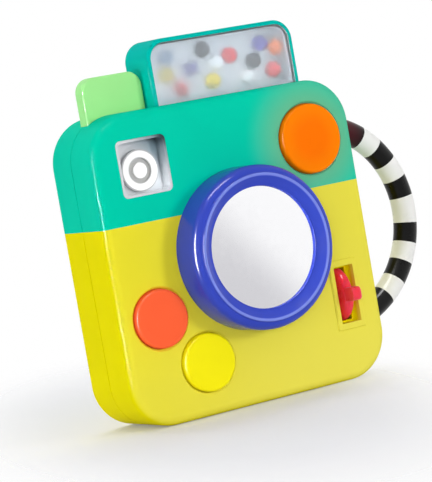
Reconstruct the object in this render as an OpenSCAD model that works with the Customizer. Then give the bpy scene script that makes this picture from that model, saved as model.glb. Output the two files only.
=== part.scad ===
// A toy camera for small children. A two-tone body carries a mirror lens, three push buttons,
// a flash, a thumb wheel, a press-down tab, a bead-filled viewfinder and a striped carrying handle.
// X runs to the right seen from the front, Y from the front to the back, Z up from the base.

/* [Body] */
// Width of the body, left side to right side
body_w = 132; // [128:1:140]
// Height of the body without the viewfinder
body_h = 134; // [131:1:142]
// Depth of the body, front face to back face
body_d = 38; // [37:0.5:44]
// Radius of the four corners seen from the front
corner_r = 20; // [17:0.5:22]
// Radius of the front and back edges
edge_r = 3.8; // [2.8:0.1:4.2]
// Wall thickness of the shells
wall = 2.2; // [1.8:0.1:2.4]
// Height of the upper, teal shells
upper_h = 47; // [46:0.5:50]

/* [Lens] */
// Lens centre to the right of the body's middle
lens_x = 1.5; // [-3:0.5:4]
// Lens centre above the body's middle
lens_rise = 0.3; // [-2:0.1:3]
// Outer radius of the lens ring
lens_r = 35.4; // [33.4:0.1:36.4]
// How far the lens ring stands out from the body
lens_h = 17; // [15:0.5:20]
// Radius of the ring's foremost circle
crest_r = 31.2; // [30.6:0.1:32]
// Radius of the mirror that shows
mirror_r = 26.2; // [25:0.1:27.4]
// How far the mirror lies behind the crest
mirror_drop = 3.4; // [3:0.1:7]
// Thickness of the mirror
mirror_t = 1.5; // [1:0.1:2]
// Wall thickness of the lens ring
lens_wall = 2.4; // [2:0.1:2.8]

/* [Buttons] */
// Radius of the coral and the yellow button
button_r = 12.6; // [12:0.1:13.4]
// Radius of the orange light button
orange_r = 15.3; // [14:0.1:16]
// Height of a button above the body
button_proud = 2.2; // [1.7:0.1:3]
// Radius of a button's edge
button_edge = 1.3; // [0.8:0.1:1.5]
// Travel of a button
button_travel = 2.5; // [1.5:0.1:3]
// Space between the lens ring and the coral and yellow buttons beside it
lens_web = 4.7; // [3:0.1:5]
// Direction from the lens down to the coral button, below the level line to the left
coral_slope = 24; // [20:0.1:25]
// Space between the coral and the yellow button
button_web = 4.7; // [3.2:0.1:6]
// Orange button centre from the body's right side
orange_side = 22.9; // [22.5:0.1:25]
// Orange button centre below the body's top
orange_top = 25.5; // [25:0.1:26.5]

/* [Flash] */
// Width and height of the flash window
flash_w = 24.5; // [22:0.1:26]
// Depth of the flash tray
flash_d = 6; // [5:0.1:7]
// Flash centre from the body's left side
flash_side = 24.3; // [22.5:0.1:26]
// Flash centre below the body's top
flash_top = 23.7; // [23:0.1:25]
// Radius of the flash lens
flash_lens_r = 9; // [7:0.1:9.4]
// How far the flash lens sits below the middle of its tray
flash_lens_low = 1.5; // [0:0.1:1.6]

/* [Thumb wheel] */
// Wheel centre from the body's right side
wheel_side = 17.5; // [17:0.1:19]
// Wheel centre above the base
wheel_z = 38; // [36.5:0.1:40]
// Radius of the wheel
wheel_r = 12.8; // [12:0.1:13.2]
// Thickness of the wheel
wheel_t = 5; // [4:0.1:5.4]
// Depth of the wheel's axle behind the front face
wheel_depth = 9.7; // [9.2:0.1:10.4]
// Radius of the finger peg's tip from the axle
peg_tip_r = 18.2; // [16.5:0.1:19]
// Width of the finger peg
peg_w = 6; // [5:0.1:6.5]
// Width of the opening for the wheel
recess_w = 10.2; // [9.8:0.1:11]
// Height of the opening for the wheel
recess_h = 25.3; // [24.8:0.1:26.5]
// Radius of the wheel's axle
axle_r = 1.5; // [1.2:0.1:2]

/* [Shutter tab] */
// Width of the tab
tab_w = 29.7; // [27:0.1:31]
// Thickness of the tab
tab_t = 7; // [6:0.1:8]
// Height of the tab above the body
tab_rise = 16.8; // [14:0.1:19]
// Left edge of the tab from the body's left side
tab_side = 9.6; // [9:0.1:11]
// Travel of the tab
tab_travel = 7; // [5:0.5:8]

/* [Viewfinder] */
// Width of the viewfinder box
box_w = 75.4; // [74:0.1:77]
// Depth of the viewfinder box
box_d = 20; // [19:0.1:22]
// Height of the viewfinder box above the body
box_rise = 28.4; // [27.6:0.1:32]
// Radius of the viewfinder's corners
box_r = 9; // [6:0.1:9.5]
// Wall thickness of the viewfinder
box_wall = 2.6; // [2.4:0.1:2.8]
// Thickness of the frosted windows
window_t = 1.6; // [1.2:0.1:1.8]
// Radius of a bead
bead_r = 3.7; // [3:0.1:3.8]

/* [Handle] */
// Radius of the handle's arc along the tube's middle
handle_r = 44.4; // [43:0.1:46]
// Radius of the handle's tube
tube_r = 5.4; // [5:0.1:6]
// Arc centre inside the body's right side
handle_inset = 10.1; // [9:0.1:11]
// Height of the handle's middle above the body's middle
handle_rise = 0.7; // [-2:0.1:2]

/* [Power] */
// Radius of a battery
cell_r = 5.25; // [5.15:0.05:5.35]
// Length of a battery
cell_len = 44.5; // [43.5:0.1:45]
// Height of the battery bay's middle above the base
bay_z = 29; // [27:0.5:29.5]
// Radius of the loudspeaker
speaker_r = 15; // [13:0.1:16]
// Height of the loudspeaker above the seam
speaker_rise = 18; // [17.5:0.5:21]
// Travel of the power switch
switch_travel = 6; // [4:0.5:7]

/* [Hidden] */
$fn = 96;

// Clearances: a running gap for what moves, and a close fit for what is fixed
gap = 0.3;
fit = 0.1;
pin_fit = 0.05;
// How far a boss or cut reaches into the solid that it joins or past the one that it opens
bite = 0.6;
past = 1;

// Groove between the front and rear shells
part_line_w = 0.4;
part_line_d = 0.4;

// Planes of the body
seam_z = body_h - upper_h;
lens_z = body_h / 2 + lens_rise;
handle_z = body_h / 2 + handle_rise;
side_x = body_w / 2;
front_y = -body_d / 2;
back_y = body_d / 2;
in_front_y = front_y + wall;
in_back_y = back_y - wall;
in_top_z = body_h - wall;

// Screws
screw_head_r = 2.6;
screw_head_h = 1.8;
screw_r = 1.3;
small_head_r = 1.7;
small_head_h = 1.1;
small_screw_r = 0.9;
screw_seat = 3.5;
screw_reach = 10;
lens_screw_reach = wall + 5;
small_reach = 5;
boss_wall = 1.1;
rear_boss_r = screw_head_r + gap + 0.8;
front_boss_r = screw_r + 1.9;
post_r = small_screw_r + 0.9;

// Buttons
button_ring_r = lens_r + lens_web + button_r;
yellow_slope = coral_slope + 2 * asin((button_r + button_web / 2) / button_ring_r);
coral_x = lens_x - button_ring_r * cos(coral_slope);
coral_z = lens_z - button_ring_r * sin(coral_slope);
yellow_x = lens_x - button_ring_r * cos(yellow_slope);
yellow_z = lens_z - button_ring_r * sin(yellow_slope);
orange_x = side_x - orange_side;
orange_z = body_h - orange_top;
flange_w = 1.2;
flange_t = 1.2;
flange_y = in_front_y + gap;
stem_r = 2.5;
switch_w = 6;
switch_t = 3.2;
plunger_r = 1.7;
plunger_h = 1.2;
switch_slack = 0.2;
stem_len = 3.6;
plunger_y = flange_y + flange_t + stem_len + button_travel + switch_slack;
board_y = plunger_y + plunger_h + switch_t;
board_t = 1.2;
board_r = 9;
arm_w = 8;
spring_in_r = 5;
spring_out_r = 6.2;
button_chamfer = 0.9;
lower_turn = [60, 240];
orange_turn = [180, 270];
led_r = 2.5;
led_h = 6.5;
led_offset = 10.5;

// Each button: x, z, radius, arm angles
CORAL = [coral_x, coral_z, button_r, lower_turn];
YELLOW = [yellow_x, yellow_z, button_r, lower_turn];
ORANGE = [orange_x, orange_z, orange_r, orange_turn];

// Flash
flash_x = -side_x + flash_side;
flash_z = body_h - flash_top;
flash_corner = 2.4;
flash_wall = 1.2;
flash_lip = 1.5;
flash_lens_t = 2;
flash_lens_z = flash_z - min(flash_lens_low, flash_w / 2 - flash_wall - flash_lens_r - fit);
flash_groove = [3.4, 5.3];
flash_floor_y = front_y + flash_d;
flash_led_h = 5.2;
flash_led_y = flash_floor_y + flash_led_h;

// Lens
mirror_h = lens_h - mirror_drop;
mirror_lap = 1.4;
mirror_seat_r = mirror_r + mirror_lap;
shoulder_r = lens_r - crest_r;
lip_r = crest_r - 0.8;
backing_t = 1.5;
hollow_h = mirror_h - mirror_t - backing_t;
backing_ring_r = 20;
backing_ring_t = 2;
lens_boss_r = 3;
lens_boss_ring = lens_r - lens_wall - lens_boss_r + bite;
lens_boss_turns = [30, 150, 270];

// Thumb wheel
wheel_x = side_x - wheel_side;
wheel_y = front_y + wheel_depth;
wheel_edge = 2.2;
peg_t = 4.4;
peg_round = 2;
ratchet_r = 5;
ratchet_tooth_r = 1;
ratchet_teeth = 10;
ratchet_t = 1.6;
recess_frame_w = 2.2;
recess_frame_h = 3;
recess_frame_rise = 0.8;
recess_frame_edge = 0.5;
housing_wall = 1.5;
housing_r = wheel_r + 0.5;
housing_back_y = wheel_y + housing_r;
leaf_t = 0.5;
leaf_tip_y = wheel_y + ratchet_r + ratchet_tooth_r + gap;

// Shutter tab
tab_x0 = -side_x + tab_side;
tab_x1 = tab_x0 + tab_w;
tab_x = (tab_x0 + tab_x1) / 2;
tab_r = 6.5;
tab_edge = 1.2;
tab_collar_w = 2;
tab_collar_t = 3;
tab_collar_in = 1.4;
corner_in_r = corner_r - wall;
collar_dx = corner_r - tab_side - tab_collar_in;
collar_sag = corner_in_r - sqrt(corner_in_r * corner_in_r - collar_dx * collar_dx);
collar_drop = ceil(10 * collar_sag) / 10;
tab_collar_z = in_top_z - collar_drop - gap - tab_collar_t;
tab_foot_drop = 2.6;
tab_foot_z = tab_collar_z - tab_foot_drop;
tab_rib_w = 4;
tab_rib_x = tab_x + 8;
tab_spring_x = tab_x - 5;
tab_spring_in = 3.2;
tab_spring_out = 4.2;
tab_rib_len = 4;
tab_rib_z = tab_foot_z - tab_rib_len;
shelf_z = tab_rib_z - tab_travel - switch_slack - plunger_h - switch_t;
shelf_t = 2;
shelf_front_y = -tab_t / 2 - tab_collar_w;

// Viewfinder
box_gap = 0.6;
box_x0 = tab_x1 + box_gap;
box_x = box_x0 + box_w / 2;
box_edge = 1.4;
box_foot_z = in_top_z - 5.8;
box_h = body_h + box_rise - box_foot_z;
box_rim = 1.8;
window_sink = 0.4;
box_flange_w = 2.5;
box_flange_in = 2;
box_flange_t = 4.6;
window_in_y = box_d / 2 - window_sink - window_t;
bead_end_y = window_in_y - bead_r - gap;

// Room for a bead's centre inside the viewfinder, above the body's top
bead_left_x = box_x0 + box_wall + bead_r + gap;
bead_right_x = box_x0 + box_w - box_wall - bead_r - gap;
bead_low_z = body_h + bead_r;
bead_high_z = body_h + box_rise - box_wall - bead_r - gap;

// Beads: shares of the way from left to right and from low to high, front or rear window, and colour
BEADS = [
    [0.167, 0.88,  1, "#8fa9c4"],
    [0.395, 0.94, -1, "#2b2b30"],
    [0.355, 0.54,  1, "#5a4a9c"],
    [0.148, 0.47,  1, "#f0d428"],
    [0.254, 0.10,  1, "#e8423c"],
    [0.441, 0.16, -1, "#f0d428"],
    [0.489, 0.58, -1, "#f4f4f2"],
    [0.611, 0.70, -1, "#e03a44"],
    [0.876, 0.86, -1, "#4a3c9a"],
    [0.997, 0.72, -1, "#f47a30"],
    [0.799, 0.48, -1, "#26262c"],
    [0.733, 0.11, -1, "#f4f4f2"],
    [0.952, 0.18, -1, "#e03a44"]
];

// Handle
handle_x = side_x - handle_inset;
handle_turn = acos(handle_inset / handle_r);
tube_bore_r = 3.2;
band_t = 1;
band_mid = 7.9;
band_pitch = 11.8;
band_count = 5;
collar_r = tube_r + 1.6;
handle_end = 6;
handle_in_turn = acos((handle_inset - handle_end) / handle_r);
band_sink = 3;

// Power, rear face
bay_gap = 0.5;
cell_pitch = 2 * cell_r + 1;
contact_room = 3.6;
contact_t = 0.5;
bay_w = cell_len + 2 * contact_room;
bay_h = cell_pitch + 2 * cell_r + 2 * bay_gap;
bay_floor_y = in_back_y - 2 * cell_r - bay_gap;
bay_floor_t = 1.4;
bay_wall = 1.4;
cell_y = bay_floor_y + cell_r + fit;
tray_rim = 3;
tray_rim_t = 1.4;
door_lug = 8;
door_r = 4;
door_w = bay_w + 2;
door_h = bay_h + door_lug;
door_z = bay_z + (door_lug - 1) / 2;
door_screw_z = door_z + door_h / 2 - 4.2;
door_boss_r = 3.2;
nub_r = 1.9;
nub_h = 1;
coil_r = 3.4;
pcb_t = 1.4;
pcb_y = in_back_y - 9.8;
pcb_w = 60;
pcb_h = 32;
pcb_z = seam_z - 3 - pcb_h / 2;
pcb_post_in = 4;
chip_w = 12;
chip_t = 1.8;
slide_w = 13;
slide_h = 6;
slide_t = 4.4;
knob_w = 5;
knob_h = 4.4;
knob_r = 1;
knob_proud = 1.2;
knob_flange_w = 2 * switch_travel + knob_w + 2;
knob_flange_h = 7;
knob_flange_t = 1.2;
knob_stem = 2.6;
speaker_x = -2;
speaker_z = seam_z + speaker_rise;
speaker_rim_t = 3;
speaker_rim_w = 1.2;
magnet_r = 8;
magnet_h = 4;
cone_t = 0.5;
grille_hole_r = 1.1;
grille_pitch = 3.9;
grille_rings = 3;

// Wires
wire_r = 0.5;
wire_bend_r = 0.55;
wire_y = 2;
wire_clear = 1;
wire_drop = 8;
speaker_wire_x = speaker_x - 11.5;
speaker_plate_y = in_back_y - speaker_rim_t - speaker_rim_w;
cell_wire_x = -bay_w / 2 - bay_wall - 1.6;
cell_wire_step = 1.5;

// Shell screws, which join the rear shells to the front ones: distances from the sides, seam, top and base
seam_screw_side = 6.5;
seam_screw_rise = 6;
top_screw_clear = 7.8;
top_screw_drop = 14;
side_screw_in = 9;
left_screw_drop = 15;
right_screw_drop = 19;
foot_screw_side = 14;
foot_screw_rise = 12;
wheel_screw_clear = 10.5;
wheel_screw_rise = 10;
upper_screws = [
    [-side_x + seam_screw_side, seam_z + seam_screw_rise],
    [side_x - seam_screw_side, seam_z + seam_screw_rise],
    [orange_x - orange_r - top_screw_clear, body_h - top_screw_drop]
];
lower_screws = [
    [-side_x + foot_screw_side, foot_screw_rise],
    [wheel_x - wheel_screw_clear, wheel_screw_rise],
    [-side_x + side_screw_in, seam_z - left_screw_drop],
    [side_x - side_screw_in, seam_z - right_screw_drop]
];

// Extrudes a shape drawn in X and Z along Y
module along_y(y0, y1) {
    translate([0, y1, 0]) rotate([90, 0, 0]) linear_extrude(y1 - y0) children();
}

// Extrudes a shape drawn in Y and Z along X
module along_x(x0, x1) {
    translate([x0, 0, 0]) rotate([90, 0, 90]) linear_extrude(x1 - x0) children();
}

// Turns a section drawn as radius and height about an axis that points out of the front face
module turned(x, y, z) {
    translate([x, y, z]) rotate([90, 0, 0]) rotate_extrude() children();
}

// A round bar along Y
module bar_y(x, z, y0, y1, r) {
    translate([x, y1, z]) rotate([90, 0, 0]) cylinder(r = r, h = y1 - y0);
}

module rounded_rect(w, h, r) {
    square([w - 2 * r, h], center = true);
    square([w, h - 2 * r], center = true);
    for (x = [-1, 1], z = [-1, 1])
        translate([x * (w / 2 - r), z * (h / 2 - r)]) circle(r);
}

// Half of a disc's section, with rounded rims
module disc_section(r, t, e) {
    translate([0, -t / 2]) square([r - e, t]);
    translate([0, -t / 2 + e]) square([r, t - 2 * e]);
    for (s = [-1, 1]) translate([r - e, s * (t / 2 - e)]) circle(e);
}

// A block with round corners seen from the front and rounded front and back edges
module pillow(w, h, d, r, e) {
    along_x(-w / 2 + r, w / 2 - r) translate([0, h / 2]) rounded_rect(d, h, e);
    translate([0, 0, r]) linear_extrude(h - 2 * r) rounded_rect(w, d, e);
    for (x = [-1, 1], z = [r, h - r])
        translate([x * (w / 2 - r), 0, z]) rotate([90, 0, 0]) rotate_extrude() disc_section(r, d, e);
}

// A screw whose shaft points to the front, with its head's seat at y
module screw(x, y, z, head_r, head_h, shaft_r, reach) {
    cross_w = head_r * 0.3;
    cross_l = head_r * 1.3;
    difference() {
        union() {
            bar_y(x, z, y, y + head_h, head_r);
            bar_y(x, z, y - reach, y + bite, shaft_r);
        }
        for (a = [0, 90]) translate([x, y + head_h, z]) rotate([0, a, 0])
            cube([cross_l, head_h, cross_w], center = true);
    }
}

// The outline of the body's inside, drawn in by a clearance
module cavity_outline(clear) {
    inset = wall + clear;
    translate([0, body_h / 2]) rounded_rect(body_w - 2 * inset, body_h - 2 * inset, corner_r - inset);
}

// One quarter of the hollow body: y and z say which side of the two part lines
module body_quarter(y0, y1, z0, z1) {
    difference() {
        intersection() {
            pillow(body_w, body_h, body_d, corner_r, edge_r);
            translate([-side_x - past, y0, z0]) cube([body_w + 2 * past, y1 - y0, z1 - z0]);
        }
        along_y(in_front_y, in_back_y) cavity_outline(0);
    }
}

// The handle's tube or a sleeve on it, from one angle to another
module handle_arc(r, a0, a1, bore) {
    translate([handle_x, 0, handle_z]) rotate([90, 0, 0])
        rotate_extrude(angle = a1 - a0, start = a0) translate([handle_r, 0]) difference() {
            circle(r);
            if (bore > 0) circle(bore);
        }
}

// The hole where one end of the handle goes into the body
module handle_hole(s) {
    a0 = s > 0 ? handle_turn - 12 : -handle_turn - 5;
    handle_arc(tube_r + fit, a0, a0 + 17, 0);
}

// The slot for the tab and the opening for the viewfinder, side by side in the top wall
module top_openings() {
    translate([tab_x0 - gap, -tab_t / 2 - gap, tab_foot_z])
        cube([box_x0 - tab_x0 + gap + past, tab_t + 2 * gap, body_h]);
    translate([box_x0 - fit, -box_d / 2 - fit, box_foot_z])
        cube([box_w + 2 * fit, box_d + 2 * fit, body_h]);
}

// A button's round hole with its small chamfer
module button_hole(b) {
    hole_r = b[2] + gap;
    turned(b[0], front_y, b[1]) polygon([
        [0, past], [hole_r + button_chamfer + past, past], [hole_r, -button_chamfer],
        [hole_r, -wall - past], [0, -wall - past]
    ]);
}

// Where a switch board's posts stand around its button
function post_spots(b) = [for (a = b[3])
    [b[0] + (b[2] + flange_w + gap + post_r) * cos(a), b[1] + (b[2] + flange_w + gap + post_r) * sin(a)]];

module button_posts(b) {
    for (p = post_spots(b)) bar_y(p[0], p[1], in_front_y - bite, board_y, post_r);
}

module button_post_holes(b) {
    for (p = post_spots(b))
        bar_y(p[0], p[1], board_y - small_reach, board_y + past, small_screw_r + pin_fit);
}

module front_bosses(spots) {
    for (p = spots) bar_y(p[0], p[1], in_front_y - bite, 0, front_boss_r);
}

module front_boss_holes(spots) {
    for (p = spots) bar_y(p[0], p[1], -screw_reach, past, screw_r + pin_fit);
}

module rear_bosses(spots) {
    for (p = spots) bar_y(p[0], p[1], 0, in_back_y + bite, rear_boss_r);
}

module rear_boss_holes(spots) {
    for (p = spots) {
        bar_y(p[0], p[1], screw_seat, back_y + past, screw_head_r + gap);
        bar_y(p[0], p[1], -past, screw_seat + past, screw_r + fit);
    }
}

function lens_boss_spots() = [for (a = lens_boss_turns)
    [lens_x + lens_boss_ring * cos(a), lens_z + lens_boss_ring * sin(a)]];

module lens_screw_holes() {
    for (p = lens_boss_spots()) bar_y(p[0], p[1], front_y - past, in_front_y + past, screw_r + fit);
}

// A fine groove round the body where the front and rear shells meet
module part_line() {
    along_y(-part_line_w / 2, part_line_w / 2) translate([0, body_h / 2]) difference() {
        rounded_rect(body_w + 2 * past, body_h + 2 * past, corner_r + past);
        rounded_rect(body_w - 2 * part_line_d, body_h - 2 * part_line_d, corner_r - part_line_d);
    }
}

module front_shell_upper() color("#01c7a6") difference() {
    union() {
        body_quarter(front_y - past, 0, seam_z, body_h + past);
        front_bosses(upper_screws);
        button_posts(ORANGE);
    }
    part_line();
    front_boss_holes(upper_screws);
    button_post_holes(ORANGE);
    button_hole(ORANGE);
    along_y(front_y - past, in_front_y + past) translate([flash_x, flash_z])
        rounded_rect(flash_w, flash_w, flash_corner);
    top_openings();
    lens_screw_holes();
    handle_hole(1);
}

module wheel_opening() {
    along_y(front_y - recess_frame_rise - past, in_front_y + past) translate([wheel_x, wheel_z])
        square([recess_w, recess_h], center = true);
}

// The raised frame round the wheel's opening, its front edges bevelled
module wheel_frame() {
    frame_w = recess_w + 2 * recess_frame_w;
    frame_h = recess_h + 2 * recess_frame_h;
    edge = recess_frame_edge;
    hull() {
        along_y(front_y - recess_frame_rise + edge, front_y + bite) translate([wheel_x, wheel_z])
            square([frame_w, frame_h], center = true);
        along_y(front_y - recess_frame_rise, front_y) translate([wheel_x, wheel_z])
            square([frame_w - 2 * edge, frame_h - 2 * edge], center = true);
    }
}

module front_shell_lower() color("#e4d931") difference() {
    union() {
        body_quarter(front_y - past, 0, -past, seam_z);
        front_bosses(lower_screws);
        button_posts(CORAL);
        button_posts(YELLOW);
        wheel_frame();
    }
    part_line();
    front_boss_holes(lower_screws);
    button_post_holes(CORAL);
    button_post_holes(YELLOW);
    button_hole(CORAL);
    button_hole(YELLOW);
    wheel_opening();
    lens_screw_holes();
    handle_hole(-1);
}

// Round holes in rings, in front of the loudspeaker
module grille_holes() {
    bar_y(speaker_x, speaker_z, in_back_y - past, back_y + past, grille_hole_r);
    for (ring = [1:grille_rings], i = [0:6 * ring - 1]) {
        a = i * 60 / ring;
        r = ring * grille_pitch;
        hole_x = speaker_x + r * cos(a);
        hole_z = speaker_z + r * sin(a);
        bar_y(hole_x, hole_z, in_back_y - past, back_y + past, grille_hole_r);
    }
}

module rear_shell_upper() color("#01c7a6") difference() {
    union() {
        body_quarter(0, back_y + past, seam_z, body_h + past);
        rear_bosses(upper_screws);
        turned(speaker_x, in_back_y, speaker_z) translate([speaker_r + fit, -bite])
            square([speaker_rim_w, speaker_rim_t + bite]);
    }
    part_line();
    rear_boss_holes(upper_screws);
    grille_holes();
    top_openings();
    handle_hole(1);
}

function pcb_spots() = [for (x = [-1, 1], z = [-1, 1])
    [x * (pcb_w / 2 - pcb_post_in), pcb_z + z * (pcb_h / 2 - pcb_post_in)]];

module rear_shell_lower() color("#e4d931") difference() {
    union() {
        body_quarter(0, back_y + past, -past, seam_z);
        rear_bosses(lower_screws);
        for (p = pcb_spots()) bar_y(p[0], p[1], pcb_y + pcb_t, in_back_y + bite, post_r);
    }
    part_line();
    rear_boss_holes(lower_screws);
    for (p = pcb_spots())
        bar_y(p[0], p[1], pcb_y + pcb_t - past, pcb_y + small_reach, small_screw_r + pin_fit);
    along_y(in_back_y - past, back_y + past) translate([0, door_z])
        rounded_rect(door_w + 2 * gap, door_h + 2 * gap, door_r + gap);
    along_y(in_back_y - past, back_y + past) translate([0, pcb_z])
        square([knob_w + switch_travel + 2 * gap, knob_h + 2 * gap], center = true);
    handle_hole(-1);
}

module shell_screws() color("#b8bcc2") {
    for (p = concat(upper_screws, lower_screws))
        screw(p[0], screw_seat, p[1], screw_head_r, screw_head_h, screw_r, screw_seat + screw_reach - bite);
}

module lens_ring() color("#4252ba") difference() {
    union() {
        turned(lens_x, front_y, lens_z) difference() {
            union() {
                square([lens_r, lens_h - shoulder_r]);
                square([crest_r, lens_h]);
                translate([crest_r, lens_h - shoulder_r]) circle(shoulder_r);
            }
            polygon([
                [0, mirror_h], [mirror_r, mirror_h], [lip_r, lens_h],
                [lip_r, lens_h + past], [0, lens_h + past]
            ]);
            square([mirror_seat_r + fit, mirror_h]);
            translate([0, -past]) square([lens_r - lens_wall, hollow_h + past]);
        }
        for (p = lens_boss_spots()) bar_y(p[0], p[1], front_y - hollow_h - bite, front_y, lens_boss_r);
    }
    for (p = lens_boss_spots())
        bar_y(p[0], p[1], in_front_y - lens_screw_reach, front_y + past, screw_r + pin_fit);
    bar_y(lens_x, lens_z, front_y - hollow_h - past, front_y - hollow_h, mirror_seat_r + fit);
}

module mirror() color("#e9e9eb") turned(lens_x, front_y, lens_z)
    translate([0, mirror_h - mirror_t]) square([mirror_seat_r, mirror_t]);

module mirror_backing() color("#3a4690") turned(lens_x, front_y, lens_z) {
    translate([0, hollow_h]) square([mirror_seat_r, backing_t]);
    translate([backing_ring_r - backing_ring_t, 0]) square([backing_ring_t, hollow_h + bite]);
}

module lens_screws() color("#b8bcc2") {
    for (p = lens_boss_spots())
        screw(p[0], in_front_y, p[1], screw_head_r, screw_head_h, screw_r, lens_screw_reach - bite);
}

// A button cap: a disc with a rounded edge, its flange behind the wall and the stem that presses the switch
module button_cap(b) {
    r = b[2];
    inner_r = r - button_edge;
    edge_h = button_proud - button_edge;
    turned(b[0], front_y, b[1]) {
        translate([0, front_y - flange_y - bite]) square([r, edge_h + flange_y - front_y + bite]);
        translate([inner_r, edge_h]) circle(button_edge);
        square([inner_r, button_proud]);
        translate([0, front_y - flange_y - flange_t]) square([r + flange_w, flange_t]);
        translate([0, front_y - flange_y - flange_t - stem_len]) square([stem_r, stem_len + bite]);
    }
}

module coral_button() color("#ff6237") button_cap(CORAL);

module yellow_button() color("#f4e716") button_cap(YELLOW);

module orange_button() color("#fe7902") button_cap(ORANGE);

// A coil spring around a button's stem, as a plain sleeve of its outer size
module button_spring(b) color("#c4c8cc") difference() {
    bar_y(b[0], b[1], flange_y + flange_t, board_y, spring_out_r);
    bar_y(b[0], b[1], flange_y, board_y + past, spring_in_r);
}

module coral_spring() button_spring(CORAL);

module yellow_spring() button_spring(YELLOW);

module orange_spring() button_spring(ORANGE);

module switch_boards() color("#2f7d4f") {
    for (b = [CORAL, YELLOW, ORANGE]) difference() {
        along_y(board_y, board_y + board_t) translate([b[0], b[1]]) {
            circle(board_r);
            for (a = b[3]) rotate(a) {
                translate([0, -arm_w / 2]) square([b[2] + flange_w + gap + post_r, arm_w]);
                translate([b[2] + flange_w + gap + post_r, 0]) circle(arm_w / 2);
            }
        }
        for (p = post_spots(b))
            bar_y(p[0], p[1], board_y - past, board_y + board_t + past, small_screw_r + fit);
    }
}

// A push switch whose plunger points to the front
module tact_switch() {
    translate([-switch_w / 2, -switch_t, -switch_w / 2]) cube([switch_w, switch_t, switch_w]);
    bar_y(0, 0, -switch_t - plunger_h, -switch_t + bite, plunger_r);
}

module tact_switches() color("#2a2a2e") {
    for (b = [CORAL, YELLOW, ORANGE]) translate([b[0], board_y, b[1]]) tact_switch();
    translate([tab_rib_x, 0, shelf_z]) rotate([-90, 0, 0]) tact_switch();
}

module small_screw(x, y, z, reach) {
    screw(x, y, z, small_head_r, small_head_h, small_screw_r, reach);
}

module board_screws() color("#b8bcc2") {
    for (b = [CORAL, YELLOW, ORANGE], p = post_spots(b))
        small_screw(p[0], board_y + board_t, p[1], board_t + small_reach - bite);
    for (p = pcb_spots()) translate([p[0], pcb_y, p[1]]) rotate([0, 0, 180])
        small_screw(0, 0, 0, small_reach - bite);
}

// A round lamp with a domed tip that points to the front
module led(x, y, z, h) {
    turned(x, y, z) {
        square([led_r, h - led_r]);
        translate([0, h - led_r]) intersection() {
            circle(led_r);
            square([led_r, led_r]);
        }
    }
}

module leds() color("#fff4dc") {
    led(orange_x - led_offset, board_y, orange_z, led_h);
    led(flash_x, flash_led_y, flash_z, flash_led_h);
}

module flash_reflector() color("#c2c4c6") difference() {
    union() {
        along_y(front_y, flash_floor_y + flash_wall) translate([flash_x, flash_z])
            rounded_rect(flash_w - 2 * fit, flash_w - 2 * fit, flash_corner - fit);
        along_y(in_front_y, in_front_y + flash_wall) translate([flash_x, flash_z])
            rounded_rect(flash_w + 2 * flash_lip, flash_w + 2 * flash_lip, flash_corner);
    }
    along_y(front_y - past, flash_floor_y) translate([flash_x, flash_z])
        rounded_rect(flash_w - 2 * flash_wall, flash_w - 2 * flash_wall, flash_corner - flash_wall / 2);
    bar_y(flash_x, flash_z, flash_floor_y - past, flash_floor_y + flash_wall + past, led_r + fit);
}

module flash_lens() color("#f6f6f4") turned(flash_x, flash_floor_y, flash_lens_z) {
    square([flash_lens_r, flash_lens_t / 2]);
    square([flash_groove[0], flash_lens_t]);
    translate([flash_groove[1], 0]) square([flash_lens_r - flash_groove[1], flash_lens_t]);
}

module thumb_wheel() color("#ff434a") translate([wheel_x, wheel_y, wheel_z]) difference() {
    union() {
        rotate([0, 0, 90]) rotate([90, 0, 0]) rotate_extrude() disc_section(wheel_r, wheel_t, wheel_edge);
        along_x(-peg_t / 2, peg_t / 2) translate([-(peg_tip_r + wheel_r / 2) / 2, 0])
            rounded_rect(peg_tip_r - wheel_r / 2, peg_w, peg_round);
        along_x(wheel_t / 2 - bite, wheel_t / 2 + ratchet_t) {
            circle(ratchet_r);
            for (i = [0:ratchet_teeth - 1]) rotate(i * 360 / ratchet_teeth)
                translate([ratchet_r, 0]) circle(ratchet_tooth_r);
        }
    }
    along_x(-wheel_t, wheel_t) circle(axle_r + pin_fit);
}

module wheel_axle() color("#b8bcc2") translate([0, wheel_y, wheel_z])
    along_x(wheel_x - recess_w / 2 - housing_wall, wheel_x + recess_w / 2 + housing_wall) circle(axle_r);

module wheel_housing() color("#dccf2a") difference() {
    along_y(in_front_y, housing_back_y + housing_wall) translate([wheel_x, wheel_z])
        square([recess_w + 2 * housing_wall, 2 * (housing_r + housing_wall)], center = true);
    along_y(in_front_y - past, housing_back_y) translate([wheel_x, wheel_z])
        square([recess_w, 2 * housing_r], center = true);
    translate([0, wheel_y, wheel_z])
        along_x(wheel_x - recess_w, wheel_x + recess_w) circle(axle_r + pin_fit);
}

// A springy leaf whose tip rides on the wheel's ratchet
module click_leaf() color("#d8b25a")
    translate([wheel_x + wheel_t / 2 + gap, leaf_tip_y, wheel_z - leaf_t / 2])
        cube([ratchet_t, housing_back_y - leaf_tip_y, leaf_t]);

module shutter_tab() color("#9ce68e") {
    below = tab_r + past;
    intersection() {
        translate([tab_x, 0, tab_foot_z - below])
            pillow(tab_w, body_h + tab_rise - tab_foot_z + below, tab_t, tab_r, tab_edge);
        translate([tab_x0 - past, -tab_t, tab_foot_z]) cube([tab_w + 2 * past, 2 * tab_t, body_h]);
    }
    translate([tab_x0 + tab_collar_in, -tab_t / 2 - tab_collar_w, tab_collar_z])
        cube([tab_w - 2 * tab_collar_in, tab_t + 2 * tab_collar_w, tab_collar_t]);
    translate([tab_rib_x - tab_rib_w / 2, -tab_rib_w / 2, tab_rib_z])
        cube([tab_rib_w, tab_rib_w, tab_rib_len + bite]);
}

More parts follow.
